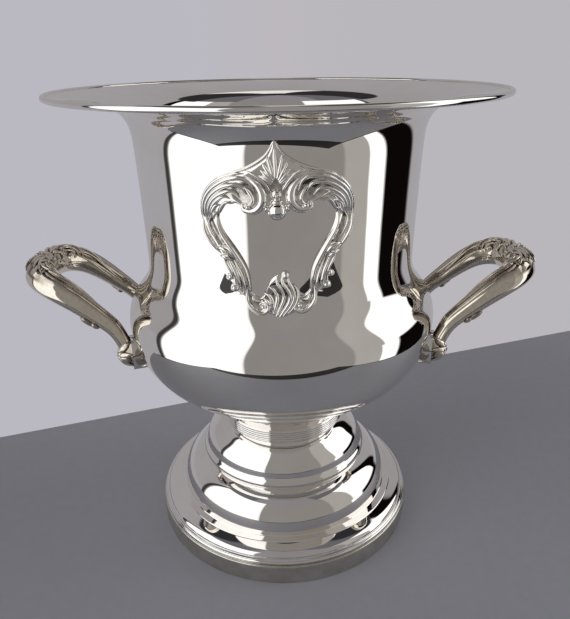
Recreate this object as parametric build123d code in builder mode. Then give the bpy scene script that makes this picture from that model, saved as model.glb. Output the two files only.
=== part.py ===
"""Silver plated champagne bucket: an urn shaped bucket with a wide flat brim, two cast loop handles,
a cast shield frame on the front and a stepped, spun pedestal foot held by one central stud.

Millimetres, +Z up, origin at the middle of the foot's resting ring, the shield frame on the -Y side.
"""
from build123d import *
from math import atan2, cos, degrees, hypot, radians, sin
import os

os.makedirs("parts", exist_ok=True)

# ---------------------------------------------------------------- driving dimensions
HEIGHT = 254.0            # floor to the top of the rolled brim
BRIM_R = 113.6            # outside of the rolled brim
BEAD_R = 1.4              # rolled edge, outside radius
WIRE_R = 0.8              # steel wire inside the rolled edges
SHEET = 1.1               # spun sheet thickness
FOOT_R = 78.6             # outside of the base band
BAND_H = 11.8             # height of the base band
LEDGE_Z = 20.0            # flat ledge between the lower dome and the base moulding
STEP_Z = 40.4             # foot of the bead between the two stages of the pedestal
BELL_Z = 46.4             # top of that bead
REED_LOW, REED_HIGH = 63.9, 70.6
NECK_R = 36.0             # waist of the pedestal
COLLAR_Z = 85.2           # underside of the beaded ring below the bowl
BOWL_FLOOR = 84.6         # underside of the flat middle of the bowl
BOWL_FLAT_R = 22.0
STUD_R = 4.0              # M8 stud through the pedestal
HANDLE_Y = 27.0           # half the spacing of a handle's two arms
TERMINAL_X = 81.0
TERMINAL_Z = 119.0        # height of the four handle feet on the bowl
FRAME_LOW, FRAME_HIGH = 158.5, 238.5
FRAME_RELIEF = 2.6        # how far the shield frame stands off the wall

# Outside of the bucket from the bowl's flat floor to the brim: (radius, height).
BOWL = [(BOWL_FLAT_R, BOWL_FLOOR), (38.0, 86.0), (50.0, 89.0), (59.0, 92.6), (68.0, 98.2), (75.2, 105.0),
        (80.4, 112.5), (84.0, 120.5), (86.0, 129.0), (86.2, 136.5), (84.4, 144.0), (80.2, 150.5),
        (75.6, 156.5), (73.0, 163.5), (72.6, 172.0), (73.2, 200.0), (74.2, 228.0), (75.8, 238.5),
        (79.6, 244.4), (86.0, 247.6), (97.0, 250.2)]
BRIM_END = (BRIM_R - BEAD_R - 1.0, HEIGHT - BEAD_R - 0.6)


def inset(points, depth):
    """The same curve moved to its inner side by `depth`, each point along its own normal."""
    moved = []
    for i, (r, z) in enumerate(points):
        (r0, z0), (r1, z1) = points[max(i - 1, 0)], points[min(i + 1, len(points) - 1)]
        length = hypot(r1 - r0, z1 - z0)
        moved.append((r - depth * (z1 - z0) / length, z + depth * (r1 - r0) / length))
    return moved


def closed_shell(points, depth):
    """The closed section of a spun sheet: its smooth outside, its inside, and the two cut edges."""
    inside = inset(points, depth)
    Spline(*points)
    Line(points[-1], inside[-1])
    Spline(*reversed(inside))
    Line(inside[0], points[0])


def save(builder, name):
    """Label a finished piece and write its STEP file."""
    builder.part.label = name
    export_step(builder.part, f"parts/{name}.step")


def ring_points(centre, radius):
    """The circle that a wire or a bead makes in the profile plane."""
    with Locations(centre):
        Circle(radius)


# ---------------------------------------------------------------- solid cores used to trim what touches the bucket
def bucket_core(grown):
    """The bucket's outside as a filled solid, with its wall moved outwards by `grown`."""
    with BuildPart() as core:
        with BuildSketch(Plane.XZ):
            with BuildLine():
                points = [(r + grown, z) for r, z in [*BOWL, BRIM_END]]
                Spline(*points)
                Polyline(points[-1], (0, BRIM_END[1]), (0, BOWL_FLOOR), points[0])
            make_face()
        revolve(axis=Axis.Z)
    return core.part


bucket_fill = bucket_core(0)

# ---------------------------------------------------------------- handle fixings: four radial studs through the bowl
FIX_ANGLE = degrees(atan2(HANDLE_Y, TERMINAL_X))
FIX_ANGLES = [FIX_ANGLE, -FIX_ANGLE, 180 - FIX_ANGLE, 180 + FIX_ANGLE]
FIX_STUD_R = 2.0
FIX_HOLE_R = 2.05
WASHER_R = 79.0           # inner face of the curved washers that sit inside the bowl
STUD_START_R, STUD_END_R = 75.5, 91.0


def radial_plane(angle, radius, height=TERMINAL_Z):
    """A plane that faces outwards at `angle` degrees round the bucket."""
    out = Vector(cos(radians(angle)), sin(radians(angle)), 0)
    return Plane(origin=out * radius + Vector(0, 0, height), z_dir=out)


# ---------------------------------------------------------------- bucket
with BuildPart() as bucket_body:
    with BuildSketch(Plane.XZ):
        with BuildLine():
            closed_shell([*BOWL, BRIM_END], SHEET)
        make_face()
        with Locations((0, BOWL_FLOOR)):
            Rectangle(BOWL_FLAT_R + 0.05, SHEET, align=(Align.MIN, Align.MIN))
        with Locations((BRIM_R - BEAD_R, HEIGHT - BEAD_R)):
            Circle(BEAD_R)
            Circle(WIRE_R, mode=Mode.SUBTRACT)
    revolve(axis=Axis.Z)
    for angle in FIX_ANGLES:
        with BuildSketch(radial_plane(angle, 70)):
            Circle(FIX_HOLE_R)
        extrude(amount=22, mode=Mode.SUBTRACT)
save(bucket_body, "bucket_body")

with BuildPart() as brim_wire:
    with BuildSketch(Plane.XZ):
        ring_points((BRIM_R - BEAD_R, HEIGHT - BEAD_R), WIRE_R)
    revolve(axis=Axis.Z)
save(brim_wire, "brim_wire")


# ---------------------------------------------------------------- joint between the bowl and the pedestal
def disc(name, outer, hole, low, high):
    """A flat round plate with a hole, as its own piece."""
    with BuildPart() as plate:
        with BuildSketch(Plane.XY.offset(low)):
            Circle(outer)
            if hole:
                Circle(hole, mode=Mode.SUBTRACT)
        extrude(amount=high - low)
    save(plate, name)


SEAT_Z = 80.5             # underside of the boss, where the neck's web bears
WEB = 1.4
disc("bowl_boss", 16, STUD_R, SEAT_Z, BOWL_FLOOR)
disc("foot_bridge", 24, STUD_R + 0.4, SEAT_Z - WEB - 2.5, SEAT_Z - WEB)
disc("foot_washer", 10, STUD_R + 0.2, SEAT_Z - WEB - 4.1, SEAT_Z - WEB - 2.5)
disc("foot_stud", STUD_R, 0, 60.0, BOWL_FLOOR)

with BuildPart() as foot_nut:
    with BuildSketch(Plane.XY.offset(SEAT_Z - WEB - 4.1 - 6.5)):
        RegularPolygon(radius=7.5, side_count=6)
        Circle(STUD_R, mode=Mode.SUBTRACT)
    extrude(amount=6.5)
save(foot_nut, "foot_nut")

with BuildPart() as bowl_ring:
    with BuildSketch(Plane.XZ):
        with Locations((48.7, COLLAR_Z + 2.0)):
            Rectangle(2.6, 4.0)
        with Locations((50.0, COLLAR_Z + 1.0), (50.3, COLLAR_Z + 3.0)):
            Circle(1.0)
    revolve(axis=Axis.Z)
    add(bucket_fill, mode=Mode.SUBTRACT)
save(bowl_ring, "bowl_ring")


# ---------------------------------------------------------------- pedestal, spun in three stages
# Each list runs from the foot of a stage up to its top: (radius, height).
NECK = [(NECK_R - 0.8, REED_LOW), (NECK_R - 0.8, REED_HIGH - 2), (NECK_R - 0.6, REED_HIGH), (37.8, 74.4),
        (42.4, 79.4), (48.4, COLLAR_Z)]
BELL = [(49.4, STEP_Z), (50.4, 42.0), (50.0, 44.4), (48.6, BELL_Z), (47.8, 49.6), (45.4, 54.4), (41.2, 59.0),
        (37.6, 62.2), (NECK_R - 1.2, REED_LOW)]
DOME = [(64.0, LEDGE_Z + 0.2), (62.6, 28.4), (59.2, 34.2), (54.6, 38.2), (49.4, STEP_Z)]
MOULDING = [(75.4, 15.4), (74.6, 16.6), (72.0, 18.2), (68.4, LEDGE_Z - 0.3)]


def turned(sections):
    """A spun shell of one or more smooth stretches, turned round the axis."""
    with BuildPart() as shell:
        with BuildSketch(Plane.XZ):
            for points in sections:
                with BuildLine():
                    closed_shell(points, SHEET)
                make_face()
        revolve(axis=Axis.Z)
    return shell


with BuildPart() as neck:
    add(turned([NECK]).part)
    with BuildSketch(Plane.XY.offset(SEAT_Z - WEB)):
        Circle(41.6)
        Circle(STUD_R + 0.2, mode=Mode.SUBTRACT)
    extrude(amount=WEB)
    split(bisect_by=Plane.XY.offset(COLLAR_Z), keep=Keep.BOTTOM)
save(neck, "neck")

REEDS = 5
with BuildPart() as neck_reeds:
    reed = (REED_HIGH - REED_LOW) / REEDS
    with BuildSketch(Plane.XZ):
        with Locations((NECK_R - 0.3, (REED_LOW + REED_HIGH) / 2)):
            Rectangle(1.4, REED_HIGH - REED_LOW)
        with Locations(*[(NECK_R + 0.2, REED_LOW + reed * (i + 0.5)) for i in range(REEDS)]):
            Circle(reed / 2)
    revolve(axis=Axis.Z)
    add(neck.part, mode=Mode.SUBTRACT)
save(neck_reeds, "neck_reeds")

save(turned([BELL]), "foot_bell")

with BuildPart() as foot_dome:
    add(turned([DOME, MOULDING]).part)
    with BuildSketch(Plane.XZ):
        with BuildLine():
            Polyline((62.9, LEDGE_Z + 0.2), (64.0, LEDGE_Z + 0.2), (64.3, LEDGE_Z), (68.0, LEDGE_Z),
                     (68.4, LEDGE_Z - 0.3), (68.1, LEDGE_Z - 1.4), (62.9, LEDGE_Z - 1.2), (62.9, LEDGE_Z + 0.2))
        make_face()
    revolve(axis=Axis.Z)
save(foot_dome, "foot_dome")

with BuildPart() as foot_reeds:
    with BuildSketch(Plane.XZ):
        with BuildLine():
            Polyline((74.3, 15.4), (75.4, 15.4), (77.8, BAND_H + 0.8), (77.8, BAND_H), (74.3, BAND_H), (74.3, 15.4))
        make_face()
        with Locations((75.8, 15.0), (76.5, 14.2), (77.1, 13.3)):
            Circle(0.45)
    revolve(axis=Axis.Z)
    add(foot_dome.part, mode=Mode.SUBTRACT)
save(foot_reeds, "foot_reeds")

with BuildPart() as base_band:
    with BuildSketch(Plane.XZ):
        with Locations((FOOT_R - 0.7, BAND_H / 2)):
            Rectangle(1.4, BAND_H)
        with Locations((FOOT_R - 1.0, BAND_H - 1.0)):
            Circle(1.3)
        with Locations((FOOT_R - 3.0, 0.6)):
            Rectangle(5.0, 1.2)
        with Locations((0, BAND_H + 3)):
            Rectangle(200, 6, mode=Mode.SUBTRACT)
    revolve(axis=Axis.Z)
save(base_band, "base_band")

with BuildPart() as base_wire:
    with BuildSketch(Plane.XZ):
        ring_points((FOOT_R - 2.8, 2.6), 1.4)
    revolve(axis=Axis.Z)
save(base_wire, "base_wire")


# ---------------------------------------------------------------- handles
TERMINAL_R = 8.2
PAD_FACE_R = 87.6         # outer face of the plates between the handle feet and the bowl
# One half of a handle's centre line, from its foot to the middle of its grip, with the arm's radius there.
ARM = [((86.0, -HANDLE_Y, 124.0), 4.6), ((90.3, -26.8, 132.4), 4.8), ((99.0, -26.4, 140.8), 5.6),
       ((109.2, -25.8, 149.0), 6.6), ((119.0, -24.0, 155.4), 7.4), ((127.6, -18.4, 158.8), 8.0),
       ((132.6, -10.0, 159.6), 8.4)]
GRIP = ((133.8, 0.0, 159.7), 8.4)


def arm_stations():
    """Centre, direction and radius along a whole handle, from its front foot round to its rear foot."""
    rear = [((x, -y, z), radius) for (x, y, z), radius in reversed(ARM)]
    points = [*ARM, GRIP, *rear]
    centres = [Vector(*place) for place, _ in points]
    stations = []
    for i, (_, radius) in enumerate(points):
        ahead = centres[min(i + 1, len(points) - 1)]
        behind = centres[max(i - 1, 0)]
        stations.append((centres[i], (ahead - behind).normalized(), radius))
    return stations


def four_fixings(name, sketch, inner, outer, trim=None, hole_r=0.0, keep=None):
    """Four equal pieces along the handle fixings, kept as one group of separate solids."""
    pieces = []
    for angle in FIX_ANGLES:
        with BuildPart() as piece:
            with BuildSketch(radial_plane(angle, inner)):
                sketch()
            extrude(amount=outer - inner)
            if trim:
                add(trim, mode=Mode.SUBTRACT)
            if hole_r:
                with BuildSketch(radial_plane(angle, inner)):
                    Circle(hole_r)
                extrude(amount=outer - inner, mode=Mode.SUBTRACT)
        pieces.append(piece.part & keep if keep else piece.part)
    with BuildPart() as group:
        add(pieces)
    save(group, name)
    return group


# Thin leaf plates between the handle feet and the bowl, and the studs that pass through them.
pads = four_fixings("handle_pads", lambda: Ellipse(7.6, 10.0), 76.0, PAD_FACE_R, bucket_fill, FIX_STUD_R)
four_fixings("handle_studs", lambda: Circle(FIX_STUD_R), STUD_START_R, STUD_END_R)

with BuildPart() as handle_right:
    for centre, direction, radius in arm_stations():
        up = Vector(-0.6, 0, 0.8)
        across = up - direction * up.dot(direction)
        with BuildSketch(Plane(origin=centre, x_dir=across, z_dir=direction)):
            Circle(radius)
    loft()
    for side in (-1, 1):
        with Locations((TERMINAL_X + 3.5, side * (HANDLE_Y + 0.8), TERMINAL_Z)):
            Sphere(TERMINAL_R)
    add(bucket_fill, mode=Mode.SUBTRACT)
    add(pads.part, mode=Mode.SUBTRACT)
    for angle in FIX_ANGLES[:2]:
        with BuildSketch(radial_plane(angle, STUD_START_R)):
            Circle(FIX_STUD_R)
        extrude(amount=STUD_END_R - STUD_START_R, mode=Mode.SUBTRACT)
save(handle_right, "handle_right")

with BuildPart() as handle_left:
    mirror(handle_right.part, about=Plane.YZ, mode=Mode.ADD)
save(handle_left, "handle_left")

wall_inside = bucket_core(-SHEET - 0.25)
four_fixings("handle_washers", lambda: Circle(4.6), WASHER_R, 84, None, FIX_STUD_R, wall_inside)
four_fixings("handle_nuts", lambda: RegularPolygon(4.0, 6), WASHER_R - 3.4, WASHER_R, None, FIX_STUD_R)

# ---------------------------------------------------------------- shield frame on the front
# Right half of the outer edge, (across, height), from the tip at the top to the bottom, then of the opening.
FRAME_MID = -0.8          # the shield frame is soldered on a little to the left of the middle
OUTER = [(0, FRAME_HIGH), (4.4, 232.0), (10.0, 228.6), (18.6, 226.0), (26.0, 223.2), (32.0, 218.0), (34.8, 211.0),
         (34.4, 203.8), (31.4, 196.6), (27.6, 189.0), (24.2, 182.4), (22.6, 176.6), (20.6, 171.4), (16.4, 168.6),
         (13.4, 164.2), (8.2, 161.0), (0, FRAME_LOW)]
OPENING = [(0, 206.0), (5.0, 208.8), (11.2, 208.2), (15.8, 210.8), (21.6, 211.0), (25.4, 206.4), (24.4, 200.2),
           (20.6, 193.4), (16.2, 186.2), (13.6, 178.8), (12.6, 172.0), (8.6, 169.8), (6.0, 173.2), (3.8, 178.0),
           (0, 180.2)]


def mirrored_outline(points):
    """A closed smooth outline from its right half."""
    left = [(-x, z) for x, z in reversed(points[1:-1])]
    return [(x + FRAME_MID, z) for x, z in [*points, *left]]


frame_fill = bucket_core(FRAME_RELIEF)
with BuildPart() as cartouche:
    with BuildSketch(Plane.XZ.offset(60)):
        with BuildLine():
            Spline(*mirrored_outline(OUTER), periodic=True)
        make_face()
        with BuildLine():
            Spline(*mirrored_outline(OPENING), periodic=True)
        make_face(mode=Mode.SUBTRACT)
    extrude(amount=30)
    add(frame_fill, mode=Mode.INTERSECT)
    add(bucket_fill, mode=Mode.SUBTRACT)
save(cartouche, "cartouche_frame")
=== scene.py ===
from math import cos, pi, radians, sin

import bmesh
import bpy
import numpy as np
from mathutils import Matrix


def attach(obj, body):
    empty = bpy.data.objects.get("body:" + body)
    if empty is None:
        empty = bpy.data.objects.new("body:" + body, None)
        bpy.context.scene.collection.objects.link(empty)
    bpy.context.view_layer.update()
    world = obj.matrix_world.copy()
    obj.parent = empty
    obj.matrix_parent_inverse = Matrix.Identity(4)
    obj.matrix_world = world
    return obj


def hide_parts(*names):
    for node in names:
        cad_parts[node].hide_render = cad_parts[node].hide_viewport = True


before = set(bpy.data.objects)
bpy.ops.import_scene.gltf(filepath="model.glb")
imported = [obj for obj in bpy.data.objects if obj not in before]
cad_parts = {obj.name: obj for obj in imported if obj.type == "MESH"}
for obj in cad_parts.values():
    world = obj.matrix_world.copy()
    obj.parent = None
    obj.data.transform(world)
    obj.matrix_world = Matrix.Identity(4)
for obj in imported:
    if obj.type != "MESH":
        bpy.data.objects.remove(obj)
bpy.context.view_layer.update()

# ------------------------------------------------------------------------------------------------ camera
# A hand camera held a little above the brim and looking down on the bucket's front.
CAMERA_BACK, CAMERA_UP = 0.3221, 0.2707
LOOK_DOWN, LEAN, TURN = radians(23.41), radians(0.83), radians(0.35)
LENS = 34.76

forward = np.array([sin(TURN) * cos(LOOK_DOWN), cos(TURN) * cos(LOOK_DOWN), -sin(LOOK_DOWN)])
level = np.array([cos(TURN), -sin(TURN), 0.0])
upright = np.cross(level, forward)
right = cos(LEAN) * level - sin(LEAN) * upright
up = sin(LEAN) * level + cos(LEAN) * upright
camera = bpy.data.objects.new("camera", bpy.data.cameras.new("camera"))
camera.data.lens = LENS
camera.data.sensor_width = 36.0
camera.data.clip_start = 0.01
pose = np.eye(4)
pose[:3, 0], pose[:3, 1], pose[:3, 2] = right, up, -forward
pose[:3, 3] = (0.0, -CAMERA_BACK, CAMERA_UP)
camera.matrix_world = Matrix(pose.tolist())
bpy.context.collection.objects.link(camera)
bpy.context.scene.camera = camera


# ------------------------------------------------------------------------------------------------ bucket
# Bowl, wall and brim are one spinning of silver plated brass, 1.1 mm thick, with the brim's edge rolled
# over a wire. The plate is mirror polished, so the form shows only by what it reflects.
MM = 0.001
SEAM = 2e-7               # metres: points nearer to each other than this are one
SHEET = 1.1
HEIGHT, BRIM_R, BEAD_R = 254.0, 113.6, 1.4
FLOOR_Z, FLAT_R = 84.6, 22.0
# Outside of the bucket from the bowl's flat floor to the brim: (radius, height) in millimetres.
BOWL = [(FLAT_R, FLOOR_Z), (38.0, 86.0), (50.0, 89.0), (59.0, 92.6), (68.0, 98.2), (75.2, 105.0),
        (80.4, 112.5), (84.0, 120.5), (86.0, 129.0), (86.2, 136.5), (84.4, 144.0), (80.2, 150.5),
        (75.6, 156.5), (73.0, 163.5), (72.6, 172.0), (73.2, 200.0), (74.2, 228.0), (75.8, 238.5),
        (79.6, 244.4), (86.0, 247.6), (97.0, 250.2), (BRIM_R - BEAD_R - 1.0, HEIGHT - BEAD_R - 0.6)]


def curve(points, count, closed=False):
    """A cubic spline through the points with a continuous bend: between two points it is the cubic that
    has their places and the second derivatives solved for all points at once, natural at free ends."""
    p = np.asarray(points, float)
    if closed:
        p = np.vstack([p, p[:1]])
    n = len(p)
    h = np.linalg.norm(np.diff(p, axis=0), axis=1)
    along = np.r_[0.0, np.cumsum(h)]
    slope = np.diff(p, axis=0) / h[:, None]
    a, b = np.zeros((n, n)), np.zeros_like(p)
    i = np.arange(1, n - 1)
    a[i, i - 1], a[i, i], a[i, i + 1] = h[:-1], 2 * (h[:-1] + h[1:]), h[1:]
    b[i] = 6 * np.diff(slope, axis=0)
    a[0, 0] = a[-1, -1] = 1.0
    if closed:
        a[0, -1] = -1.0
        a[-1, 0], a[-1, 1], a[-1, -2], a[-1, -1] = 2 * h[0], h[0], h[-1], 2 * h[-1]
        b[-1] = 6 * (slope[0] - slope[-1])
    m = np.linalg.solve(a, b)
    s = np.linspace(0, along[-1], count, endpoint=not closed)
    k = np.clip(np.searchsorted(along, s, side="right") - 1, 0, n - 2)
    back, on, span = (along[k + 1] - s)[:, None], (s - along[k])[:, None], h[k][:, None]
    bend = (m[k] * back ** 3 + m[k + 1] * on ** 3) / (6 * span)
    return bend + (p[k] / span - m[k] * span / 6) * back + (p[k + 1] / span - m[k + 1] * span / 6) * on


def inset(line, depth):
    """The curve moved to its left by depth along its own normal."""
    step = np.gradient(line, axis=0)
    step /= np.linalg.norm(step, axis=1)[:, None]
    return line + depth * np.c_[-step[:, 1], step[:, 0]]


def grid_faces(rows, cols, wrap_rows, wrap_cols):
    """Four corner numbers for every cell of a grid of points, wrapping where the surface closes."""
    row_cells, col_cells = rows if wrap_rows else rows - 1, cols if wrap_cols else cols - 1
    i, j = np.meshgrid(np.arange(row_cells), np.arange(col_cells), indexing="ij")
    i2, j2 = (i + 1) % rows, (j + 1) % cols
    quads = np.stack([i * cols + j, i2 * cols + j, i2 * cols + j2, i * cols + j2], axis=-1)
    return quads.reshape(-1, 4)


def make_piece(name, grids, material, node_names, crease=60, relief=None):
    """One object from point grids in millimetres, each (points, wraps along rows, wraps along columns).
    A grid's faces are turned so that the volume they enclose, summed face by face, is positive. Edges
    sharper than crease degrees stay sharp, and relief holds one value per point for the material."""
    points, faces = [], []
    first = 0
    for grid, wrap_rows, wrap_cols in grids:
        rows, cols = grid.shape[:2]
        flat = grid.reshape(-1, 3)
        quads = grid_faces(rows, cols, wrap_rows, wrap_cols)
        c = flat[quads] - flat.mean(axis=0)
        volume = np.einsum("ij,ij->i", c[:, 0], np.cross(c[:, 1], c[:, 2])).sum()
        volume += np.einsum("ij,ij->i", c[:, 0], np.cross(c[:, 2], c[:, 3])).sum()
        if volume < 0:
            quads = quads[:, ::-1]
        points.append(flat)
        faces.append(quads + first)
        first += len(flat)
    mesh = bpy.data.meshes.new(name)
    mesh.from_pydata((np.vstack(points) * MM).tolist(), [], np.vstack(faces).tolist())
    if relief is not None:
        mesh.attributes.new("relief", "FLOAT", "POINT").data.foreach_set("value", np.concatenate(relief))
    work = bmesh.new()
    work.from_mesh(mesh)
    bmesh.ops.remove_doubles(work, verts=work.verts, dist=SEAM)
    work.to_mesh(mesh)
    work.free()
    mesh.polygons.foreach_set("use_smooth", [True] * len(mesh.polygons))
    mesh.set_sharp_from_angle(angle=radians(crease))
    mesh.materials.append(material)
    piece = bpy.data.objects.new(name, mesh)
    bpy.context.collection.objects.link(piece)
    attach(piece, "root")
    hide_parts(*node_names)


def turned(section, steps=256):
    """A section of (radius, height) points turned once round the axis: x = r cos a, y = r sin a."""
    a = np.linspace(0, 2 * pi, steps, endpoint=False) + pi / 2
    r, z = section[:, :1], section[:, 1:]
    return np.stack([r * np.cos(a), r * np.sin(a), np.broadcast_to(z, (len(section), steps))], axis=-1)


def linear(code):
    """An sRGB hex colour as linear light: each channel through the sRGB curve."""
    c = np.array([int(code[i:i + 2], 16) for i in (1, 3, 5)]) / 255
    c = np.where(c <= 0.04045, c / 12.92, ((c + 0.055) / 1.055) ** 2.4)
    return (*c.tolist(), 1.0)


def empty_material(name):
    """A new material with an empty node tree."""
    material = bpy.data.materials.new(name)
    material.use_nodes = True
    material.node_tree.nodes.clear()
    return material


def add_node(tree, kind, settings=None, links=None):
    """Adds a node, sets its properties or the default values of its inputs, and links its inputs. A
    number names an input by its place: 6 and 7 are the two colours of a Mix node."""
    node = tree.nodes.new(kind)
    for key, value in (settings or {}).items():
        if isinstance(key, str) and hasattr(node, key):
            setattr(node, key, value)
        else:
            node.inputs[key].default_value = value
    for key, source in (links or {}).items():
        tree.links.new(source, node.inputs[key])
    return node


WIPE_MM, WAVE_MM = 1.2, 24.0


def worked_metal(name, bright, dull, smooth, rough, patch_mm, ripple_mm=0.05):
    """Plated or bare metal: two tones and two roughnesses mixed by soft patches of patch_mm, fine wiping
    marks, and a bump of ripple_mm for the slight waves that spinning and buffing leave."""
    material = empty_material(name)
    tree = material.node_tree
    place = add_node(tree, "ShaderNodeTexCoord").outputs["Object"]
    patches = add_node(tree, "ShaderNodeTexNoise",
                       {"Scale": 1 / (patch_mm * MM), "Detail": 4.0, "Roughness": 0.6},
                       {"Vector": place}).outputs["Fac"]
    wipes = add_node(tree, "ShaderNodeTexNoise",
                     {"Scale": 1 / (WIPE_MM * MM), "Detail": 3.0, "Distortion": 0.4},
                     {"Vector": place}).outputs["Fac"]
    waves = add_node(tree, "ShaderNodeTexNoise", {"Scale": 1 / (WAVE_MM * MM), "Detail": 1.0},
                     {"Vector": place}).outputs["Fac"]
    span = add_node(tree, "ShaderNodeMapRange", {"From Min": 0.35, "From Max": 0.7},
                    {"Value": patches}).outputs["Result"]
    tone = add_node(tree, "ShaderNodeMix", {"data_type": "RGBA", 6: linear(bright), 7: linear(dull)},
                    {"Factor": span}).outputs[2]
    marks = add_node(tree, "ShaderNodeMath", {"operation": "MULTIPLY", 1: 0.4}, {0: wipes}).outputs[0]
    marks = add_node(tree, "ShaderNodeMath", {"operation": "ADD"}, {0: marks, 1: span}).outputs[0]
    gloss = add_node(tree, "ShaderNodeMapRange",
                     {"From Min": 0.1, "From Max": 1.2, "To Min": smooth, "To Max": rough},
                     {"Value": marks}).outputs["Result"]
    bump = add_node(tree, "ShaderNodeBump", {"Strength": 0.5, "Distance": ripple_mm * MM},
                    {"Height": waves}).outputs["Normal"]
    shader = add_node(tree, "ShaderNodeBsdfPrincipled", {"Metallic": 1.0},
                      {"Base Color": tone, "Roughness": gloss, "Normal": bump})
    add_node(tree, "ShaderNodeOutputMaterial", {}, {"Surface": shader.outputs[0]})
    return material


# Silver plated brass, spun and mirror polished: crisp reflections, a faint warm cast in soft patches.
mirror_silver = worked_metal("silver_plated_brass_mirror_polished", "#f6f4f1", "#ece8e3",
                             0.01, 0.04, 45, 0.09)

outside = curve(BOWL, 170)
bead_turn = np.linspace(radians(-150), radians(150), 20)
bead = np.c_[BRIM_R - BEAD_R + BEAD_R * np.cos(bead_turn), HEIGHT - BEAD_R + BEAD_R * np.sin(bead_turn)]
floor_under = [(0, FLOOR_Z), (FLAT_R * 0.5, FLOOR_Z)]
floor_inside = [(FLAT_R * 0.5, FLOOR_Z + SHEET), (0, FLOOR_Z + SHEET)]
bucket_section = np.vstack([floor_under, outside, bead, inset(outside, SHEET)[::-1], floor_inside])
make_piece("bucket", [(turned(bucket_section), False, True)], mirror_silver, ["bucket_body", "brim_wire"])

# ------------------------------------------------------------------------------------------------ bowl ring
# A silver plated brass ring with two beads, turned on the lathe and soldered under the bowl, where it
# covers the seam between bowl and pedestal.
RING_Z = 85.2


def arc(centre, radius, start, end, count):
    """Points on a circle about centre, from the start angle to the end angle in degrees."""
    a = np.radians(np.linspace(start, end, count))
    return np.c_[centre[0] + radius * np.cos(a), centre[1] + radius * np.sin(a)]


ring_section = np.vstack([[(47.4, RING_Z)], arc((50.0, RING_Z + 1.0), 1.0, -90, 62, 12),
                          arc((50.3, RING_Z + 3.0), 1.0, -62, 100, 12),
                          [(48.4, RING_Z + 3.6), (47.4, RING_Z + 3.2)]])
make_piece("ring_under_bowl", [(turned(ring_section), True, True)], mirror_silver, ["bowl_ring"],
           crease=40)

# ------------------------------------------------------------------------------------------------ neck
# The pedestal's waist, spun from plated brass sheet to a concave curve. A collar with five turned reeds
# is soldered round its narrowest part.
REED_LOW, REED_HIGH, NECK_R = 63.9, 70.6, 36.0
NECK = [(NECK_R - 0.8, REED_LOW), (NECK_R - 0.8, REED_HIGH - 2), (NECK_R - 0.6, REED_HIGH), (37.8, 74.4),
        (42.4, 79.4), (48.4, RING_Z)]


def spun(line):
    """The closed section of a spun sheet: its outside and its inside one sheet's thickness away."""
    return np.vstack([line, inset(line, SHEET)[::-1]])


make_piece("waist", [(turned(spun(curve(NECK, 60))), True, True)], mirror_silver, ["neck"],
           crease=50)

REEDS = 5
reed = (REED_HIGH - REED_LOW) / REEDS
collar = np.vstack([arc((NECK_R + 0.1, REED_LOW + reed * (i + 0.5)), reed / 2, -80, 80, 9)
                    for i in range(REEDS)])
collar = np.vstack([[(NECK_R - 0.8, REED_LOW)], collar, [(NECK_R - 0.8, REED_HIGH)]])
make_piece("waist_reeds", [(turned(collar), True, True)], mirror_silver, ["neck_reeds"],
           crease=30)

# ------------------------------------------------------------------------------------------------ foot
# The pedestal's two spun stages: a bell that ends in a bead, and a low dome with a ledge and a rounded
# moulding. A reeded border and a plain band with a beaded upper edge are soldered on below.
STEP_Z, BELL_Z, LEDGE_Z = 40.4, 46.4, 20.0
BELL = [(49.4, STEP_Z), (50.4, 42.0), (50.0, 44.4), (48.6, BELL_Z), (47.8, 49.6), (45.4, 54.4), (41.2, 59.0),
        (37.6, 62.2), (NECK_R - 1.2, REED_LOW)]
DOME = [(64.0, LEDGE_Z + 0.2), (62.6, 28.4), (59.2, 34.2), (54.6, 38.2), (49.4, STEP_Z)]
MOULDING = [(75.4, 15.4), (74.6, 16.6), (72.0, 18.2), (68.4, LEDGE_Z - 0.3)]
make_piece("bell_stage", [(turned(spun(curve(BELL, 90))), True, True)], mirror_silver, ["foot_bell"],
           crease=50)
ledge = np.array([(64.3, LEDGE_Z - 0.1), (67.6, LEDGE_Z - 0.1), (68.1, LEDGE_Z)])
stage = np.vstack([curve(MOULDING, 40), ledge[::-1], curve(DOME, 70)])
make_piece("dome_stage", [(turned(spun(stage)), True, True)], mirror_silver, ["foot_dome"],
           crease=35)

BAND_H, FOOT_R = 11.8, 78.6
steps_down = np.vstack([arc((75.8, 15.0), 0.55, 120, -10, 7), arc((76.6, 14.1), 0.55, 80, -20, 7),
                        arc((77.2, 13.1), 0.5, 70, -40, 7)])
border = np.vstack([[(74.3, 15.4)], steps_down, [(77.3, BAND_H), (74.3, BAND_H)]])
make_piece("reeded_border", [(turned(border), True, True)], mirror_silver, ["foot_reeds"],
           crease=30)

# Silver plated band, satin from handling: broad soft reflections, with fine marks round it.
satin_silver = worked_metal("silver_plated_band_satin_worn", "#d6d3cb", "#c0bbb0", 0.14, 0.28, 12, 0.1)
band = np.vstack([arc((FOOT_R - 1.0, BAND_H - 1.0), 1.0, 100, 0, 8), [(FOOT_R, 5.0), (FOOT_R - 0.1, 0.5)],
                  arc((FOOT_R - 0.5, 0.4), 0.4, 0, -90, 5), [(FOOT_R - 5.4, 0.0), (FOOT_R - 5.4, 1.2),
                  (FOOT_R - 1.4, 1.2), (FOOT_R - 1.4, BAND_H - 0.2)]])
make_piece("plain_band", [(turned(band), True, True)], satin_silver, ["base_band"],
           crease=45)

# ------------------------------------------------------------------------------------------ shield frame
# A rococo shield frame, cast in relief, plated, and soldered to the front of the wall: a moulded band with
# scrolls, leaf strands, a shell crest, a pearl drop and a leaf spray at the foot.
FRAME_MID, SPREAD, ASKEW, PIVOT_Z = -0.8, 1.08, radians(1.6), 195.0
WALL_LOW, WALL_HIGH = 140.0, 249.0


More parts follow.
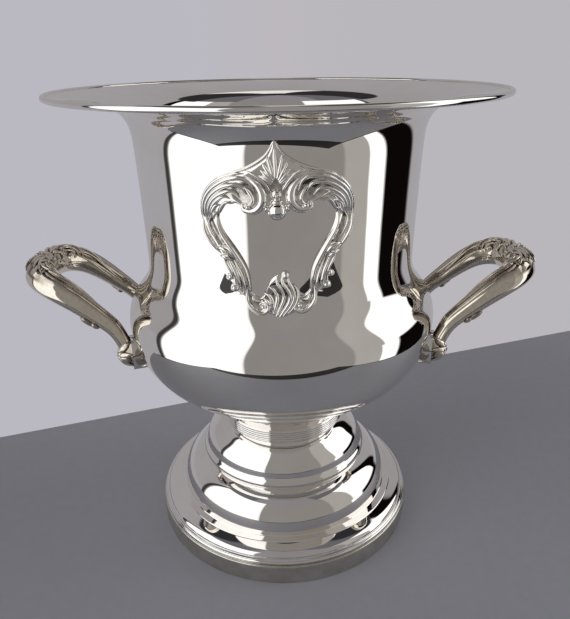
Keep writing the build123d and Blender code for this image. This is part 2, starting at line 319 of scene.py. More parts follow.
def wall_radius(z):
    """Radius of the bucket's outside at height z, read from its own curve."""
    wall = outside[(outside[:, 1] > WALL_LOW) & (outside[:, 1] < WALL_HIGH)]
    order = np.argsort(wall[:, 1])
    return np.interp(z, wall[order, 1], wall[order, 0])


def on_wall(s, z, h):
    """Point on the front wall: s millimetres round from the middle, z up, h off the surface. The whole
    frame is spread sideways and sits a little askew, turned about a point in its middle."""
    wide, rise = SPREAD * s, z - PIVOT_Z
    z = PIVOT_Z + rise * cos(ASKEW) + wide * sin(ASKEW)
    a = -pi / 2 + (wide * cos(ASKEW) - rise * sin(ASKEW) + FRAME_MID) / wall_radius(z)
    r = wall_radius(z) + h
    return np.stack([r * np.cos(a), r * np.sin(a), z], axis=-1)


def strand(place, points, width, height, count=30, sides=9, blunt=0.0):
    """A tapered ridge along a line on a surface, which place maps to space. Across it the height is a half
    ellipse; along it width and height swell as the square root of a sine, from a point or, with blunt
    above 0, from a rounded start, to a point."""
    line = curve(points, count)
    step = np.gradient(line, axis=0)
    step /= np.linalg.norm(step, axis=1)[:, None]
    across = np.c_[-step[:, 1], step[:, 0]]
    t = np.linspace(0.0, 1.0, count)
    swell = np.sqrt(np.clip(np.sin(pi * np.clip(t * (1 - blunt) + blunt, 0.02, 0.98)), 0, 1))
    a = np.linspace(0, 2 * pi, 2 * sides, endpoint=False)
    c, lift = np.cos(a), np.where(np.sin(a) > 0, np.sin(a), 0.35 * np.sin(a))
    flat = line[:, None, :] + across[:, None, :] * (c[None, :, None] * (swell * width / 2)[:, None, None])
    grid = place(flat[..., 0], flat[..., 1], lift[None, :] * (swell * height)[:, None] + 0.35)
    shade = np.clip(lift[None, :] * np.ones(count)[:, None], 0, 1)
    return cap(grid), cap_shade(shade)


def cap(grid):
    """Closes both ends of a tube with a row that has shrunk to its own middle."""
    ends = [np.broadcast_to(grid[i].mean(axis=0), grid[i].shape)[None] for i in (0, -1)]
    return np.concatenate([ends[0], grid, ends[1]])


def cap_shade(shade):
    """The relief values for the two extra rows that close a tube."""
    return np.concatenate([shade[:1], shade, shade[-1:]]).ravel()


def dome(place, s, t, wide, tall, height, count=14, sides=22):
    """A pearl or boss at (s, t) on a surface: half an ellipsoid, whose width and length shrink with the
    cosine of the rise while its height grows with the sine."""
    rise = np.linspace(0, pi / 2, count)[:, None]
    a = np.linspace(0, 2 * pi, sides, endpoint=False)[None, :]
    grid = place(s + wide / 2 * np.cos(rise) * np.cos(a), t + tall / 2 * np.cos(rise) * np.sin(a),
                 height * np.sin(rise) + 0 * a)
    return cap(grid), cap_shade(np.sin(rise) + 0 * a)


# Right half of the frame's outer edge and of its opening, (across, up), from the top to the bottom.
OUTER = [(0, 238.0), (2.6, 233.6), (6.4, 230.0), (11.4, 227.0), (17.4, 225.4), (24.0, 222.8),
         (29.4, 217.6), (31.8, 211.0), (31.4, 204.4), (29.0, 198.0), (25.6, 191.6), (22.2, 185.0),
         (20.0, 180.4), (20.2, 176.4), (18.8, 171.8), (15.2, 169.4), (12.6, 165.2), (8.0, 162.2),
         (3.4, 160.4), (0, 159.4)]
OPENING = [(0, 206.6), (4.6, 209.2), (10.4, 208.4), (14.6, 211.4), (20.0, 211.6), (23.6, 206.6),
           (22.6, 200.4), (19.0, 193.6), (15.2, 186.4), (12.9, 178.8), (12.0, 171.6), (8.0, 169.2),
           (5.6, 172.6), (3.6, 177.6), (0, 179.6)]
BAND_RELIEF = 1.5         # height of the moulded band's two edges off the wall


def both_halves(points):
    """A closed outline from its right half."""
    return [*points, *[(-x, z) for x, z in points[-2:0:-1]]]


def by_angle(outline, middle, angles):
    """The outline as seen from a middle point: where a ray at each angle from straight up meets it."""
    d = outline - middle
    seen = np.unwrap(np.arctan2(d[:, 0], d[:, 1]))
    order = np.argsort(seen)
    reach = np.interp(angles, seen[order], np.hypot(*d.T)[order], period=2 * pi)
    return middle + reach[:, None] * np.c_[np.sin(angles), np.cos(angles)]


around = np.linspace(0, 2 * pi, 300, endpoint=False)
heart = np.array([0.0, 192.0])
outer_line = by_angle(curve(both_halves(OUTER), 900, closed=True), heart, around)
inner_line = by_angle(curve(both_halves(OPENING), 900, closed=True), heart, around)
across = np.linspace(0, 1, 15)
flat = inner_line[:, None] * (1 - across)[None, :, None] + outer_line[:, None] * across[None, :, None]
# Across the band: high at both edges and hollow in the middle, as a cosine, and rounded off at the rims.
hollow = 0.25 + 0.75 * np.abs(np.cos(pi * across)) ** 1.5
edge_drop = np.clip(np.sin(pi * across), 0, 1) ** 0.2
top = on_wall(flat[..., 0], flat[..., 1], (hollow * edge_drop * BAND_RELIEF)[None, :] - 0.05)
under = on_wall(flat[..., 0], flat[..., 1], np.full_like(flat[..., 0], -0.1))[:, ::-1][:, 1:-1]
shield_parts = [(np.concatenate([top, under], axis=1), True, True)]
band_relief = np.broadcast_to(0.35 * hollow, top.shape[:2])
shield_relief = [np.concatenate([band_relief, np.zeros(under.shape[:2])], axis=1).ravel()]

# Right half of the ornament, (across, up): line, width, height. The left half is its mirror.
STRANDS = [
    ([(2.2, 216.6), (4.2, 220.4), (7.4, 223.8), (11.6, 226.0)], 1.5, 1.9),
    ([(3.6, 214.6), (5.4, 218.2), (8.4, 221.6), (12.2, 224.2)], 1.2, 1.6),
    ([(0.6, 236.8), (3.0, 232.4), (6.8, 229.2), (12.0, 226.6), (17.6, 225.0)], 1.1, 1.7),
    ([(9.6, 224.6), (16.0, 224.6), (23.6, 221.8), (29.0, 216.2), (31.2, 209.4), (31.0, 203.6)], 1.4, 1.7),
    ([(8.6, 217.0), (10.4, 221.4), (15.6, 223.0), (22.2, 220.8), (27.6, 216.2), (30.2, 210.6),
      (30.2, 204.6)], 2.0, 2.3),
    ([(11.6, 216.0), (14.0, 219.6), (18.6, 220.0), (23.8, 217.6), (27.8, 213.2), (29.4, 207.8),
      (29.3, 204.2)], 1.9, 2.4),
    ([(14.4, 214.6), (17.0, 217.4), (20.8, 216.8), (24.8, 214.2), (27.6, 210.0), (28.5, 205.4)], 1.8, 2.4),
    ([(17.8, 213.8), (20.4, 215.0), (23.6, 213.4), (26.2, 210.2), (27.6, 205.6)], 1.5, 2.2),
    ([(21.8, 211.4), (24.2, 211.2), (26.0, 208.6), (26.8, 205.6)], 1.4, 2.1),
    ([(23.4, 208.4), (25.0, 207.6), (26.0, 204.8)], 1.2, 1.8),
    ([(11.0, 222.8), (7.0, 219.6), (5.4, 214.8), (6.8, 210.6), (10.2, 208.8), (13.2, 210.0),
      (13.4, 212.4)], 3.0, 2.6),
    ([(12.4, 219.2), (9.8, 216.2), (9.4, 212.8), (11.2, 211.4), (12.6, 212.6)], 1.5, 2.9),
    ([(16.0, 213.2), (17.6, 212.4), (20.0, 212.6), (22.0, 210.8), (23.6, 207.4)], 1.2, 1.7),
    ([(24.4, 207.0), (24.2, 201.6), (21.0, 195.0), (16.8, 187.8), (13.9, 181.0), (12.9, 173.8),
      (12.4, 170.0)], 1.7, 2.2),
    ([(30.6, 205.6), (30.0, 199.4), (27.2, 193.8), (24.0, 189.4)], 1.6, 2.3),
    ([(27.0, 206.4), (28.2, 203.6), (27.6, 199.8), (25.4, 195.4)], 0.9, 1.7),
    ([(18.4, 187.6), (20.8, 191.0), (23.6, 192.4), (26.4, 191.6)], 2.0, 3.0),
    ([(19.4, 186.0), (22.0, 188.4), (24.8, 188.8)], 1.7, 2.8),
    ([(23.4, 189.6), (21.4, 184.4), (19.6, 180.6), (20.2, 178.0), (22.2, 178.2), (21.8, 179.8)], 1.4, 2.4),
    ([(21.4, 188.8), (18.6, 182.6), (17.0, 177.0), (18.0, 173.0), (20.4, 172.6), (20.6, 174.6)], 1.6, 2.6),
    ([(18.6, 186.6), (16.0, 180.4), (14.8, 174.8), (15.6, 171.0), (17.6, 170.2)], 1.3, 2.2),
    ([(13.8, 173.2), (14.0, 168.0), (11.4, 163.6), (7.4, 162.2), (5.4, 164.6), (7.2, 167.0),
      (9.2, 165.6)], 1.9, 2.6),
    ([(11.6, 170.6), (11.0, 168.0), (9.0, 167.4)], 1.3, 2.0),
]
# The spray at the foot isn't symmetrical: an S-shaped plume with leaves laid to either side of it.
SPRAY = [
    ([(-1.0, 160.2), (1.4, 164.0), (3.4, 168.2), (2.8, 172.6), (0.8, 176.4), (1.4, 180.2)], 2.0, 3.0),
    ([(0.4, 160.4), (3.4, 164.6), (5.2, 169.0), (4.6, 173.4), (3.2, 177.2), (3.6, 180.4)], 1.8, 2.7),
    ([(-2.2, 160.6), (-0.4, 165.0), (1.0, 169.0), (0.4, 172.8), (-1.4, 176.0), (-1.4, 179.0)], 1.8, 2.7),
    ([(-3.4, 161.6), (-2.2, 166.0), (-1.6, 169.6), (-3.0, 173.0), (-5.2, 174.6)], 1.9, 2.6),
    ([(-4.4, 162.8), (-3.8, 166.6), (-4.6, 169.8), (-7.0, 171.4)], 1.8, 2.4),
    ([(-5.2, 164.2), (-5.6, 167.0), (-7.4, 168.8)], 1.5, 2.0),
    ([(2.4, 161.4), (5.2, 164.6), (6.8, 168.4), (6.8, 172.0), (5.2, 174.8)], 1.6, 2.3),
]
STRAND_FULL, SPRAY_FULL = 1.34, 1.15         # how much wider than listed the leaves are laid
FAN_RIBS, FAN_FOOT, FAN_HALF = 9, 219.4, 0.92       # ribs of the shell crest, their foot, half its angle


def add_part(parts, relief, made):
    """Puts a (grid, shade) pair made by strand or dome on the lists of a piece."""
    parts.append((made[0], False, True))
    relief.append(made[1])


for line, width, height in STRANDS:
    for side in (1, -1):
        mirrored = [(side * s, z) for s, z in line]
        add_part(shield_parts, shield_relief, strand(on_wall, mirrored, STRAND_FULL * width, height))
for line, width, height in SPRAY:
    add_part(shield_parts, shield_relief, strand(on_wall, line, SPRAY_FULL * width, height, blunt=0.08))
for angle in np.linspace(-FAN_HALF, FAN_HALF, FAN_RIBS):
    reach = 7.8 + 8.4 * max(0.0, 1 - abs(angle) / 0.9) ** 1.3
    line = [(q * reach * sin(angle), FAN_FOOT + q * reach * cos(angle)) for q in (0.25, 0.5, 0.75, 1.0)]
    add_part(shield_parts, shield_relief, strand(on_wall, line, 2.1, 2.1, blunt=0.3))
# The drop with its pearls, and the pearls that end the curls: (across, up, wide, tall, high).
BEADS = [(0, 215.6, 4.6, 5.0, 2.6), (0, 215.6, 2.2, 2.4, 3.8), (0, 208.6, 7.4, 8.2, 3.9),
         (0, 212.4, 5.2, 3.4, 2.8), (-4.0, 209.8, 2.4, 3.4, 2.4), (4.0, 209.8, 2.4, 3.4, 2.4),
         (2.2, 179.4, 3.4, 4.0, 2.8), (11.2, 210.6, 3.0, 3.2, 3.0), (-11.2, 210.6, 3.0, 3.2, 3.0)]
for side in (1, -1):
    BEADS += [(side * 20.4, 178.8, 3.2, 3.2, 2.8), (side * 19.0, 173.4, 3.8, 3.8, 3.0),
              (side * 7.4, 165.0, 2.8, 2.8, 3.0)]
for s, z, wide, tall, height in BEADS:
    add_part(shield_parts, shield_relief, dome(on_wall, s, z, wide, tall, height))


MOTTLE_MM, PITTING_MM = 1.6, 0.04


def relief_silver(name, bright, hollow_tone, smooth, rough, reach, mottling):
    """Plated relief that is rubbed bright on its ridges while tarnish stays in the hollows: tone and
    roughness follow the piece's own relief attribute, which counts as a ridge from reach upwards, broken
    up by a fine mottle."""
    material = empty_material(name)
    tree = material.node_tree
    place = add_node(tree, "ShaderNodeTexCoord").outputs["Object"]
    relief = add_node(tree, "ShaderNodeAttribute", {"attribute_name": "relief"}).outputs["Fac"]
    mottle = add_node(tree, "ShaderNodeTexNoise",
                      {"Scale": 1 / (MOTTLE_MM * MM), "Detail": 5.0, "Roughness": 0.65},
                      {"Vector": place}).outputs["Fac"]
    spread = add_node(tree, "ShaderNodeMapRange",
                      {"From Min": 0.3, "From Max": 0.7, "To Min": -mottling, "To Max": mottling},
                      {"Value": mottle}).outputs["Result"]
    worn = add_node(tree, "ShaderNodeMath", {"operation": "ADD"}, {0: relief, 1: spread}).outputs[0]
    worn = add_node(tree, "ShaderNodeMapRange", {"From Min": 0.0, "From Max": reach},
                    {"Value": worn}).outputs["Result"]
    tone = add_node(tree, "ShaderNodeMix", {"data_type": "RGBA", 6: linear(hollow_tone), 7: linear(bright)},
                    {"Factor": worn}).outputs[2]
    gloss = add_node(tree, "ShaderNodeMapRange", {"To Min": rough, "To Max": smooth},
                     {"Value": worn}).outputs["Result"]
    bump = add_node(tree, "ShaderNodeBump", {"Strength": 0.3, "Distance": PITTING_MM * MM},
                    {"Height": mottle}).outputs["Normal"]
    shader = add_node(tree, "ShaderNodeBsdfPrincipled", {"Metallic": 1.0},
                      {"Base Color": tone, "Roughness": gloss, "Normal": bump})
    add_node(tree, "ShaderNodeOutputMaterial", {}, {"Surface": shader.outputs[0]})
    return material


# Silver plated casting, polished over its ridges: bright scrolls, warm grey hollows.
cast_silver = relief_silver("silver_plated_casting_polished", "#f7f5f1", "#8b8478", 0.04, 0.16, 0.3, 0.1)
make_piece("shield_frame", shield_parts, cast_silver, ["cartouche_frame"],
           crease=70, relief=shield_relief)

# ------------------------------------------------------------------------------------------------ handles
# Two cast handles, mirror images, each one casting with its two leaf terminals: smooth and plump below,
# fluted along the inner edge, with acanthus and scrolls over the outer grip. Bolted through the wall.
# Half of a centre line, from the front foot to the middle of the grip, with the arm's radius there.
ARM = [((86.0, -27.0, 124.0), 4.6), ((90.3, -26.8, 132.4), 4.8), ((99.0, -26.4, 140.8), 5.6),
       ((109.2, -25.8, 149.0), 6.6), ((119.0, -24.0, 155.4), 7.4), ((127.6, -18.4, 158.8), 8.0),
       ((132.6, -10.0, 159.6), 8.4)]
GRIP = ((133.8, 0.0, 159.7), 8.4)
stations = [(*c, r) for c, r in [*ARM, GRIP]]
stations += [(x, -y, z, r) for x, y, z, r in stations[-2::-1]]
path = curve(stations, 421)
middle, thick = path[:, :3], path[:, 3]
tangent = np.gradient(middle, axis=0)
tangent /= np.linalg.norm(tangent, axis=1)[:, None]
top_way = np.array([0, 0, 1.0]) - tangent[:, 2:] * tangent
top_way /= np.linalg.norm(top_way, axis=1)[:, None]
in_way = np.cross(top_way, tangent)
run = np.r_[0, np.cumsum(np.linalg.norm(np.diff(middle, axis=0), axis=1))]
run -= run[-1] / 2
REACH = run[-1]
FLUTE, RIB = 0.6, 0.75         # depth of the flutes, height of the leaf ribs


def ease(x, low, high):
    """0 below low, 1 above high, and between them the smooth step of three squares less two cubes."""
    t = np.clip((x - low) / (high - low), 0, 1)
    return t * t * (3 - 2 * t)


def handle_height(s, a):
    """Relief in millimetres of the casting at run s and angle a from its top towards its inner side:
    lengthwise flutes on the inner upper edge, a cosine of the angle, and over the grip leaf ribs, a sine
    of run and angle together, which makes them slant."""
    d = np.abs(s)
    inner = ease(a, -0.9, -0.4) * (1 - ease(a, 1.7, 2.3))
    on_arm = ease(d, 16, 26) * (1 - ease(d, REACH - 14, REACH - 4))
    flutes = FLUTE * np.abs(np.cos(3.1 * (a - 0.35))) ** 0.7 * inner * on_arm
    upper = 1 - ease(np.abs(a - 0.15), 0.95, 1.25)
    ribs = RIB * np.abs(np.sin(0.46 * d + 1.5 * a)) ** 0.8 * upper * (1 - ease(d, 20, 27))
    return flutes + ribs


def on_handle(s, t, h):
    """Point on the handle: s along it from the middle of the grip, t round from its top, h off it. From
    the centre line it is out by cos a upwards and by sin a inwards, where a is t over the radius and out
    is the radius less a cut that makes room for the relief."""
    shape = np.broadcast(s, t, h).shape
    s, t, h = (np.broadcast_to(v, shape) for v in (s, t, h))
    c, n, b = (np.stack([np.interp(s, run, v[:, k]) for k in range(3)], axis=-1)
               for v in (middle, top_way, in_way))
    r = np.interp(s, run, thick)
    a = t / r
    cut = 0.3 + 0.7 * (1 - ease(np.abs(a), 1.2, 1.9))
    out = (r - cut + h)[..., None]
    return c + out * (np.cos(a)[..., None] * n + np.sin(a)[..., None] * b)


around = np.linspace(-pi, pi, 128, endpoint=False)
rise = handle_height(run[:, None], around[None, :])
body = on_handle(run[:, None], around[None, :] * thick[:, None], rise)
ridges = rise / 0.9
# Smooth skin counts as ridge, so it stays bright: all of the grip's underside, and the arm off its flutes.
along_arm = ease(np.abs(run), 20, 30)[:, None]
fluted = (ease(around, -0.9, -0.5) * (1 - ease(around, 1.7, 2.1)))[None, :]
worked = along_arm * fluted + (1 - along_arm) * (1 - ease(np.abs(around), 1.0, 1.3))[None, :]
handle_parts = [(cap(body), False, True)]
handle_relief = [cap_shade(np.clip(ridges + (1 - worked), 0, 1))]

# Ornament on the grip: (along, round): line, width, height. It is mirrored to both ends of the grip.
SCROLLS = [
    ([(13.0, 8.4), (15.4, 6.2), (18.6, 5.8), (21.4, 7.6), (22.4, 10.4)], 1.5, 2.0),
    ([(11.4, 6.6), (14.8, 3.6), (19.4, 3.2), (23.4, 5.6), (25.2, 9.4)], 1.6, 2.1),
    ([(10.0, 4.4), (14.4, 0.8), (20.2, 0.4), (25.4, 3.2), (28.0, 8.0)], 1.6, 2.1),
    ([(16.4, 9.6), (17.6, 8.4), (19.0, 8.4), (19.8, 9.8)], 1.3, 2.0),
    ([(24.0, 6.0), (30.0, 4.6), (37.0, 4.8), (46.0, 5.6), (56.0, 6.2)], 1.8, 1.7),
    ([(22.0, 1.2), (28.0, 1.4), (35.0, 2.8), (42.0, 4.2)], 1.7, 1.7),
    ([(26.0, 8.8), (33.0, 8.4), (42.0, 8.6), (52.0, 8.2)], 1.5, 1.6),
    ([(2.0, 7.6), (5.4, 5.4), (8.6, 5.6), (10.4, 8.0), (9.4, 10.4), (7.0, 10.2)], 1.7, 2.2),
    ([(1.2, 3.0), (4.6, 0.4), (9.6, -1.8), (14.4, -5.4)], 2.2, 2.1),
    ([(1.0, 0.0), (4.0, -3.2), (8.0, -5.8), (12.0, -9.0)], 2.0, 2.0),
    ([(0.8, -3.0), (3.0, -6.0), (6.0, -8.6), (8.4, -11.0)], 1.9, 1.9),
    ([(3.0, 3.4), (8.0, 1.6), (13.6, -1.6), (18.4, -4.6)], 2.0, 2.1),
    ([(6.0, 3.0), (11.6, 1.6), (17.0, -0.6), (22.0, -3.2)], 1.8, 2.0),
    ([(0.4, -5.4), (1.4, -8.6), (2.6, -11.4)], 1.8, 1.8),
]
# Pearls of the grip and, under each arm, a small leaf of three lobes: (along, round, wide, tall, high).
PEARLS = [(0.0, 1.6, 5.6, 5.0, 2.4), (0.0, 7.4, 3.6, 3.6, 2.2), (0.0, -2.8, 3.0, 3.0, 2.4),
          (18.2, 8.6, 2.2, 2.2, 2.0), (-18.2, 8.6, 2.2, 2.2, 2.0)]
UNDER_LEAF = [(54.0, -15.5, 10.0, 6.0, 1.9), (58.0, -13.4, 5.0, 4.0, 1.7), (58.0, -17.2, 5.0, 4.0, 1.7)]
SCROLL_LOW, PEARL_LOW = 0.68, 0.75         # how far the ornament is sunk below its listed height
for line, width, height in SCROLLS:
    for side in (1, -1):
        mirrored = [(side * s, t) for s, t in line]
        add_part(handle_parts, handle_relief,
                 strand(on_handle, mirrored, width, SCROLL_LOW * height, count=24, sides=7))
for s, t, wide, tall, height in PEARLS:
    add_part(handle_parts, handle_relief, dome(on_handle, s, t, wide, tall, PEARL_LOW * height, 10, 16))
for side in (1, -1):
    for s, t, wide, tall, height in UNDER_LEAF:
        add_part(handle_parts, handle_relief, dome(on_handle, side * s, t, wide, tall, height, 10, 18))

# The terminals: a domed pad with leaf lobes that radiate from a knob, pressed to the bowl's side.
SEAT_R, TERMINAL_R, TERMINAL_Z, TERMINAL_Y = 84.2, 88.9, 119.0, 27.8
TERMINAL_TURN = float(np.arcsin(TERMINAL_Y / TERMINAL_R))
LOBES, INNER_LOBES = 7, 5
WIDE, TALL, DEEP = 8.4, 9.0, 9.2         # half width, half height and bulge of the pad
BEHIND = 4.0                             # how far the pad goes back into the bowl's side


def on_terminal(way):
    """Maps (s, t, h) to the boss of one terminal: s along the wall, t up, h off its face, which bulges as
    the upper half of an ellipsoid."""
    a = way * TERMINAL_TURN
    out, side = np.array([cos(a), sin(a), 0.0]), np.array([-sin(a), cos(a), 0.0])

    def place(s, t, h):
        shape = np.broadcast(s, t, h).shape
        s, t, h = (np.broadcast_to(v, shape) for v in (s, t, h))
        bulge = DEEP * np.clip(1 - (s / WIDE) ** 2 - (t / TALL) ** 2, 0, 1) ** 0.5
        lift = (SEAT_R + bulge + h)[..., None]
        return lift * out + s[..., None] * side + np.stack([0 * t, 0 * t, TERMINAL_Z + t], axis=-1)
    return place


for way in (1, -1):
    place = on_terminal(way)
    u, a = np.linspace(0, 1, 34)[:, None], np.linspace(0, 2 * pi, 96, endpoint=False)[None, :]
    spread = 0.9 + 0.1 * np.abs(np.cos(LOBES * a / 2)) ** 0.6
    disc = place(WIDE * u * spread * np.cos(a), TALL * u * spread * np.sin(a), -0.5 + 0 * u * a)
    back = disc[-1:] - BEHIND * np.array([cos(way * TERMINAL_TURN), sin(way * TERMINAL_TURN), 0.0])
    handle_parts.append((cap(np.concatenate([disc, back])), False, True))
    handle_relief.append(cap_shade(np.concatenate([0.5 + 0 * (u * a), 0.3 + 0 * a])))
    for k in range(LOBES):
        a = 2 * pi * (k + 0.5) / LOBES
        line = [(WIDE * q * cos(a + 0.3 * way * q), TALL * q * sin(a + 0.3 * way * q))
                for q in (0.22, 0.5, 0.75, 0.93)]
        add_part(handle_parts, handle_relief, strand(place, line, 3.9, 1.5, count=18, sides=8, blunt=0.2))
    for k in range(INNER_LOBES):
        a = 2 * pi * k / INNER_LOBES + 0.3
        line = [(WIDE * q * cos(a), TALL * q * sin(a)) for q in (0.08, 0.25, 0.42, 0.55)]
        add_part(handle_parts, handle_relief, strand(place, line, 3.4, 1.7, count=16, sides=8, blunt=0.2))
    for k in range(INNER_LOBES):
        a = 2 * pi * k / INNER_LOBES - 0.4
        add_part(handle_parts, handle_relief, dome(place, 5.0 * cos(a), 5.4 * sin(a), 4.8, 5.0, 1.9, 10, 18))
    add_part(handle_parts, handle_relief, dome(place, 0.0, 0.0, 4.6, 4.6, 2.2, 10, 18))


# Silver plated casting, golden brown with tarnish in its hollows, bright along the smooth underside.
patina_silver = relief_silver("silver_plated_casting_tarnished", "#f0e9db", "#66543d", 0.04, 0.2, 1.1, 0.14)
for side, name, node in ((1, "right_handle", "handle_right"), (-1, "left_handle", "handle_left")):
    flip = np.array([side, 1.0, 1.0])
    make_piece(name, [(grid * flip, rows, cols) for grid, rows, cols in handle_parts], patina_silver, [node],
               crease=75, relief=handle_relief)

# ------------------------------------------------------------------------------------------------ small parts
# Pads between casting and bowl, and the hidden fixings: plated studs, nuts and washers on the handles, a
# zinc plated stud, nut and washer with brass boss and bridge under the bowl, and a steel wire in the band.
# Silver plate on steel screws and nuts: sharp small highlights, slightly cloudy.
fixing_plate = worked_metal("steel_silver_plated_fixings", "#d6d2c8", "#b9b3a5", 0.14, 0.28, 3)
# Zinc plated steel: bluish, cloudy, semi-bright.
zinc = worked_metal("steel_zinc_plated", "#b4bac0", "#8f979e", 0.28, 0.45, 2)
# Turned brass left raw: yellow, slightly dulled.
brass = worked_metal("brass_turned_raw", "#c9a65e", "#8f7440", 0.24, 0.42, 4)
# Drawn steel wire: a dull grey with soft highlights.
wire = worked_metal("steel_wire_drawn", "#9c9c9a", "#6f6d69", 0.3, 0.5, 3)
finishes = {"handle_pads": mirror_silver, "handle_studs": fixing_plate, "handle_washers": fixing_plate,
            "handle_nuts": fixing_plate, "bowl_boss": brass, "foot_bridge": brass, "foot_washer": zinc,
            "foot_stud": zinc, "foot_nut": zinc, "base_wire": wire}
for node, material in finishes.items():
    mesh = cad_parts[node].data
    mesh.materials.clear()
    mesh.materials.append(material)

# ------------------------------------------------------------------------------------------ surroundings
# A plain grey table whose far edge runs at a slant behind the bucket, with painted shadow along its near
# sides as a near black strip, and a plain pale wall given by the sky. The sky also holds what the mirror
# shows:
# a large window on the left, a narrow one on the right, a grey room between them, and a grey ceiling with a
# lamp.
EDGE_AT, EDGE_SLOPE, NEAR, SIDE = 0.1366, 0.33, -0.325, 0.34
SHADOW_SIDE, SHADOW_LEFT, SHADOW_RIGHT = 0.012, 0.05, 0.17         # width of the black strip of painted shadow at the sides and in front
corners = [(-SIDE, NEAR, 0), (SIDE, NEAR, 0), (SIDE, EDGE_AT + EDGE_SLOPE * SIDE, 0),
           (-SIDE, EDGE_AT - EDGE_SLOPE * SIDE, 0)]
floor_mesh = bpy.data.meshes.new("table")
floor_mesh.from_pydata(corners, [], [(0, 1, 2, 3)])
table = bpy.data.objects.new("table", floor_mesh)
bpy.context.collection.objects.link(table)
# The black strip below is painted shadow: it stands for the shade beyond the table's near edges.
shadow_strip_mesh = bpy.data.meshes.new("table_painted_shadow")
rim = [(-SIDE, 0.0), (-SIDE, NEAR), (SIDE, NEAR), (SIDE, 0.0)]
beyond = [(-SIDE - SHADOW_SIDE, 0.0), (-SIDE - SHADOW_SIDE, NEAR - SHADOW_LEFT),
          (SIDE + SHADOW_SIDE, NEAR - SHADOW_RIGHT), (SIDE + SHADOW_SIDE, 0.0)]
shadow_strip_mesh.from_pydata([(x, y, 0.0) for x, y in rim + beyond], [], [(0, 1, 5, 4), (1, 2, 6, 5), (2, 3, 7, 6)])
table_painted_shadow = bpy.data.objects.new("table_painted_shadow", shadow_strip_mesh)
bpy.context.collection.objects.link(table_painted_shadow)
# Grey laminate: faint mottle, a soft sheen.
laminate = empty_material("laminate_grey_matt")
tree = laminate.node_tree
spot = add_node(tree, "ShaderNodeTexCoord").outputs["Object"]
speck = add_node(tree, "ShaderNodeTexNoise", {"Scale": 160.0, "Detail": 4.0}, {"Vector": spot}).outputs["Fac"]
tone = add_node(tree, "ShaderNodeMix", {"data_type": "RGBA", 6: linear("#a2a3ac"), 7: linear("#abadb5")},
                {"Factor": speck}).outputs[2]
shader = add_node(tree, "ShaderNodeBsdfPrincipled", {"Roughness": 0.5}, {"Base Color": tone})
add_node(tree, "ShaderNodeOutputMaterial", {}, {"Surface": shader.outputs[0]})
floor_mesh.materials.append(laminate)
# Painted shadow beyond the table's near edges, laid as a near black strip: almost without shine.
shadow_black = empty_material("painted_shadow_black_matt")
tree = shadow_black.node_tree
shader = add_node(tree, "ShaderNodeBsdfPrincipled", {"Base Color": linear("#161616"), "Roughness": 0.6})
add_node(tree, "ShaderNodeOutputMaterial", {}, {"Surface": shader.outputs[0]})
shadow_strip_mesh.materials.append(shadow_black)

world = bpy.data.worlds.new("room")
bpy.context.scene.world = world
world.use_nodes = True
tree = world.node_tree
tree.nodes.clear()
aim = add_node(tree, "ShaderNodeTexCoord").outputs["Generated"]
way = add_node(tree, "ShaderNodeSeparateXYZ", {}, {0: aim})
back = add_node(tree, "ShaderNodeMath", {"operation": "MULTIPLY", 1: -1.0}, {0: way.outputs["Y"]}).outputs[0]
turn = add_node(tree, "ShaderNodeMath", {"operation": "ARCTAN2"}, {0: way.outputs["X"], 1: back}).outputs[0]
turn = add_node(tree, "ShaderNodeMapRange", {"From Min": -pi, "From Max": pi},
                {"Value": turn}).outputs["Result"]
tilt = add_node(tree, "ShaderNodeMath", {"operation": "ARCSINE"}, {0: way.outputs["Z"]}).outputs[0]
tilt = add_node(tree, "ShaderNodeMapRange", {"From Min": -pi / 2, "From Max": pi / 2},
                {"Value": tilt}).outputs["Result"]

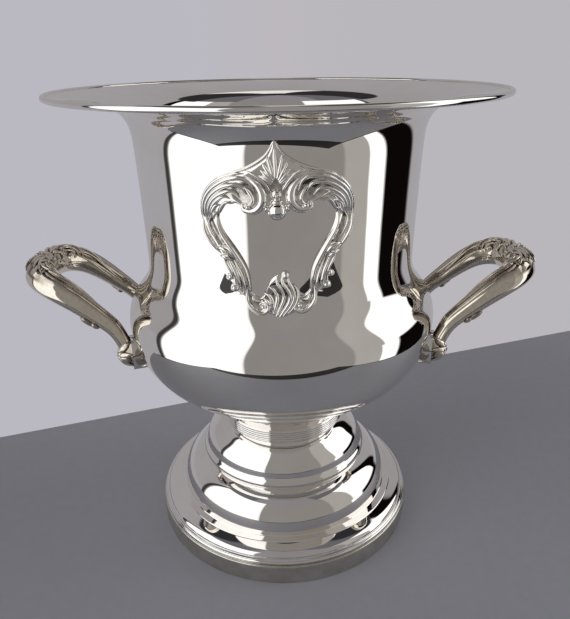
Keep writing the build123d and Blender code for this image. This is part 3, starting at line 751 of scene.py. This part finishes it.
# What the room shows at each angle, as (angle, colour, strength) stops in rising order. Angles round the
# room run from -180 to 180 degrees, 0 towards the front and 90 to the right; heights run from -90 to 90.
# White and black stops mark where a part of the room is and isn't.
ON, OFF = ("#ffffff", 1.0), ("#000000", 1.0)
BY_TURN, BY_TILT = (turn, 180), (tilt, 90)
VIEWS = {
    "upper_walls": (BY_TURN, [
        (-180, "#a19ea1", 1.0), (-98, "#a19ea1", 1.0), (-97, "#3c3c3c", 1.0), (-93, "#3c3c3c", 1.0),
        (-92, "#ffffff", 1.25), (-27, "#ffffff", 1.25), (-26, "#8f8c89", 1.0), (50, "#918d8a", 1.0),
        (51, "#aeaba7", 1.0), (75, "#aeaba7", 1.0), (76, "#ffffff", 1.3), (117, "#ffffff", 1.3),
        (118, "#070505", 1.0), (128, "#0a0606", 1.0), (130, "#a19ea1", 1.0), (180, "#a19ea1", 1.0)]),
    "lower_walls": (BY_TURN, [
        (-180, "#a8a6ab", 1.0), (-98, "#a8a6ab", 1.0), (-97, "#3c3c3c", 1.0), (-93, "#3c3c3c", 1.0),
        (-92, "#ffffff", 1.2), (-27, "#ffffff", 1.2), (-26, "#8f8c89", 1.0), (50, "#918d8a", 1.0),
        (51, "#aeaba7", 1.0), (72, "#aeaba7", 1.0), (73, "#ffffff", 1.3), (88, "#ffffff", 1.3),
        (89, "#0b0808", 1.0), (122, "#0d0808", 1.0), (126, "#a8a6ab", 1.0), (180, "#a8a6ab", 1.0)]),
    "eye_level": (BY_TILT, [(-90, *OFF), (1, *OFF), (4, *ON), (90, *ON)]),
    "behind": (BY_TURN, [(-180, *ON), (-102, *ON), (-98, *OFF), (98, *OFF), (102, *ON), (180, *ON)]),
    "high": (BY_TILT, [(-90, *OFF), (50, *OFF), (51, *ON), (90, *ON)]),
    "overhead": (BY_TILT, [(-90, *OFF), (52, *OFF), (53, *ON), (90, *ON)]),
    "lamp_side": (BY_TURN, [(-180, *ON), (-174, *ON), (-173, *OFF), (166, *OFF), (167, *ON), (180, *ON)]),
    "lamp_height": (BY_TILT, [(-90, *OFF), (51, *OFF), (52, *ON), (74, *ON), (75, *OFF), (90, *OFF)]),
    "ceiling": (BY_TURN, [
        (-180, "#2f2e31", 1.0), (-102, "#2f2e31", 1.0), (-98, "#6a696e", 1.0), (-48, "#6a696e", 1.0),
        (-44, "#8d8b92", 1.0), (44, "#8d8b92", 1.0), (48, "#6a696e", 1.0), (98, "#6a696e", 1.0),
        (102, "#2f2e31", 1.0), (180, "#2f2e31", 1.0)]),
    "backdrop": (BY_TURN, [
        (-180, "#bcb8be", 1.0), (-170, "#bab9c2", 1.0), (170, "#b9b7bb", 1.0), (180, "#bcb8be", 1.0)]),
}
room = {}
for part, ((angle_of, limit), stops) in VIEWS.items():
    node = add_node(tree, "ShaderNodeValToRGB", {}, {"Fac": angle_of})
    while len(node.color_ramp.elements) < len(stops):
        node.color_ramp.elements.new(0.5)
    for element, (angle, code, strength) in zip(node.color_ramp.elements, stops):
        element.position = (angle + limit) / (2 * limit)
        element.color = (*[strength * c for c in linear(code)[:3]], 1.0)
    room[part] = node.outputs["Color"]

round_room = add_node(tree, "ShaderNodeMix", {"data_type": "RGBA"},
                      {"Factor": room["eye_level"], 6: room["lower_walls"],
                       7: room["upper_walls"]}).outputs[2]
above = add_node(tree, "ShaderNodeMath", {"operation": "MULTIPLY"},
                 {0: room["behind"], 1: room["high"]}).outputs[0]
above = add_node(tree, "ShaderNodeMath", {"operation": "MAXIMUM"}, {0: above, 1: room["overhead"]}).outputs[0]
lamp = add_node(tree, "ShaderNodeMath", {"operation": "MULTIPLY"},
                {0: room["lamp_side"], 1: room["lamp_height"]}).outputs[0]
ceiling = add_node(tree, "ShaderNodeMix", {"data_type": "RGBA", 7: linear("#f4f2ee")},
                   {"Factor": lamp, 6: room["ceiling"]}).outputs[2]
sky = add_node(tree, "ShaderNodeMix", {"data_type": "RGBA"},
               {"Factor": above, 6: round_room, 7: ceiling}).outputs[2]
light = add_node(tree, "ShaderNodeBackground", {"Strength": 1.0}, {"Color": sky})
wall_light = add_node(tree, "ShaderNodeBackground", {"Strength": 1.0}, {"Color": room["backdrop"]})
seen = add_node(tree, "ShaderNodeLightPath").outputs["Is Camera Ray"]
both = add_node(tree, "ShaderNodeMixShader", {}, {"Fac": seen, 1: light.outputs[0], 2: wall_light.outputs[0]})
add_node(tree, "ShaderNodeOutputWorld", {}, {"Surface": both.outputs[0]})
bpy.context.scene.view_settings.view_transform = "Standard"
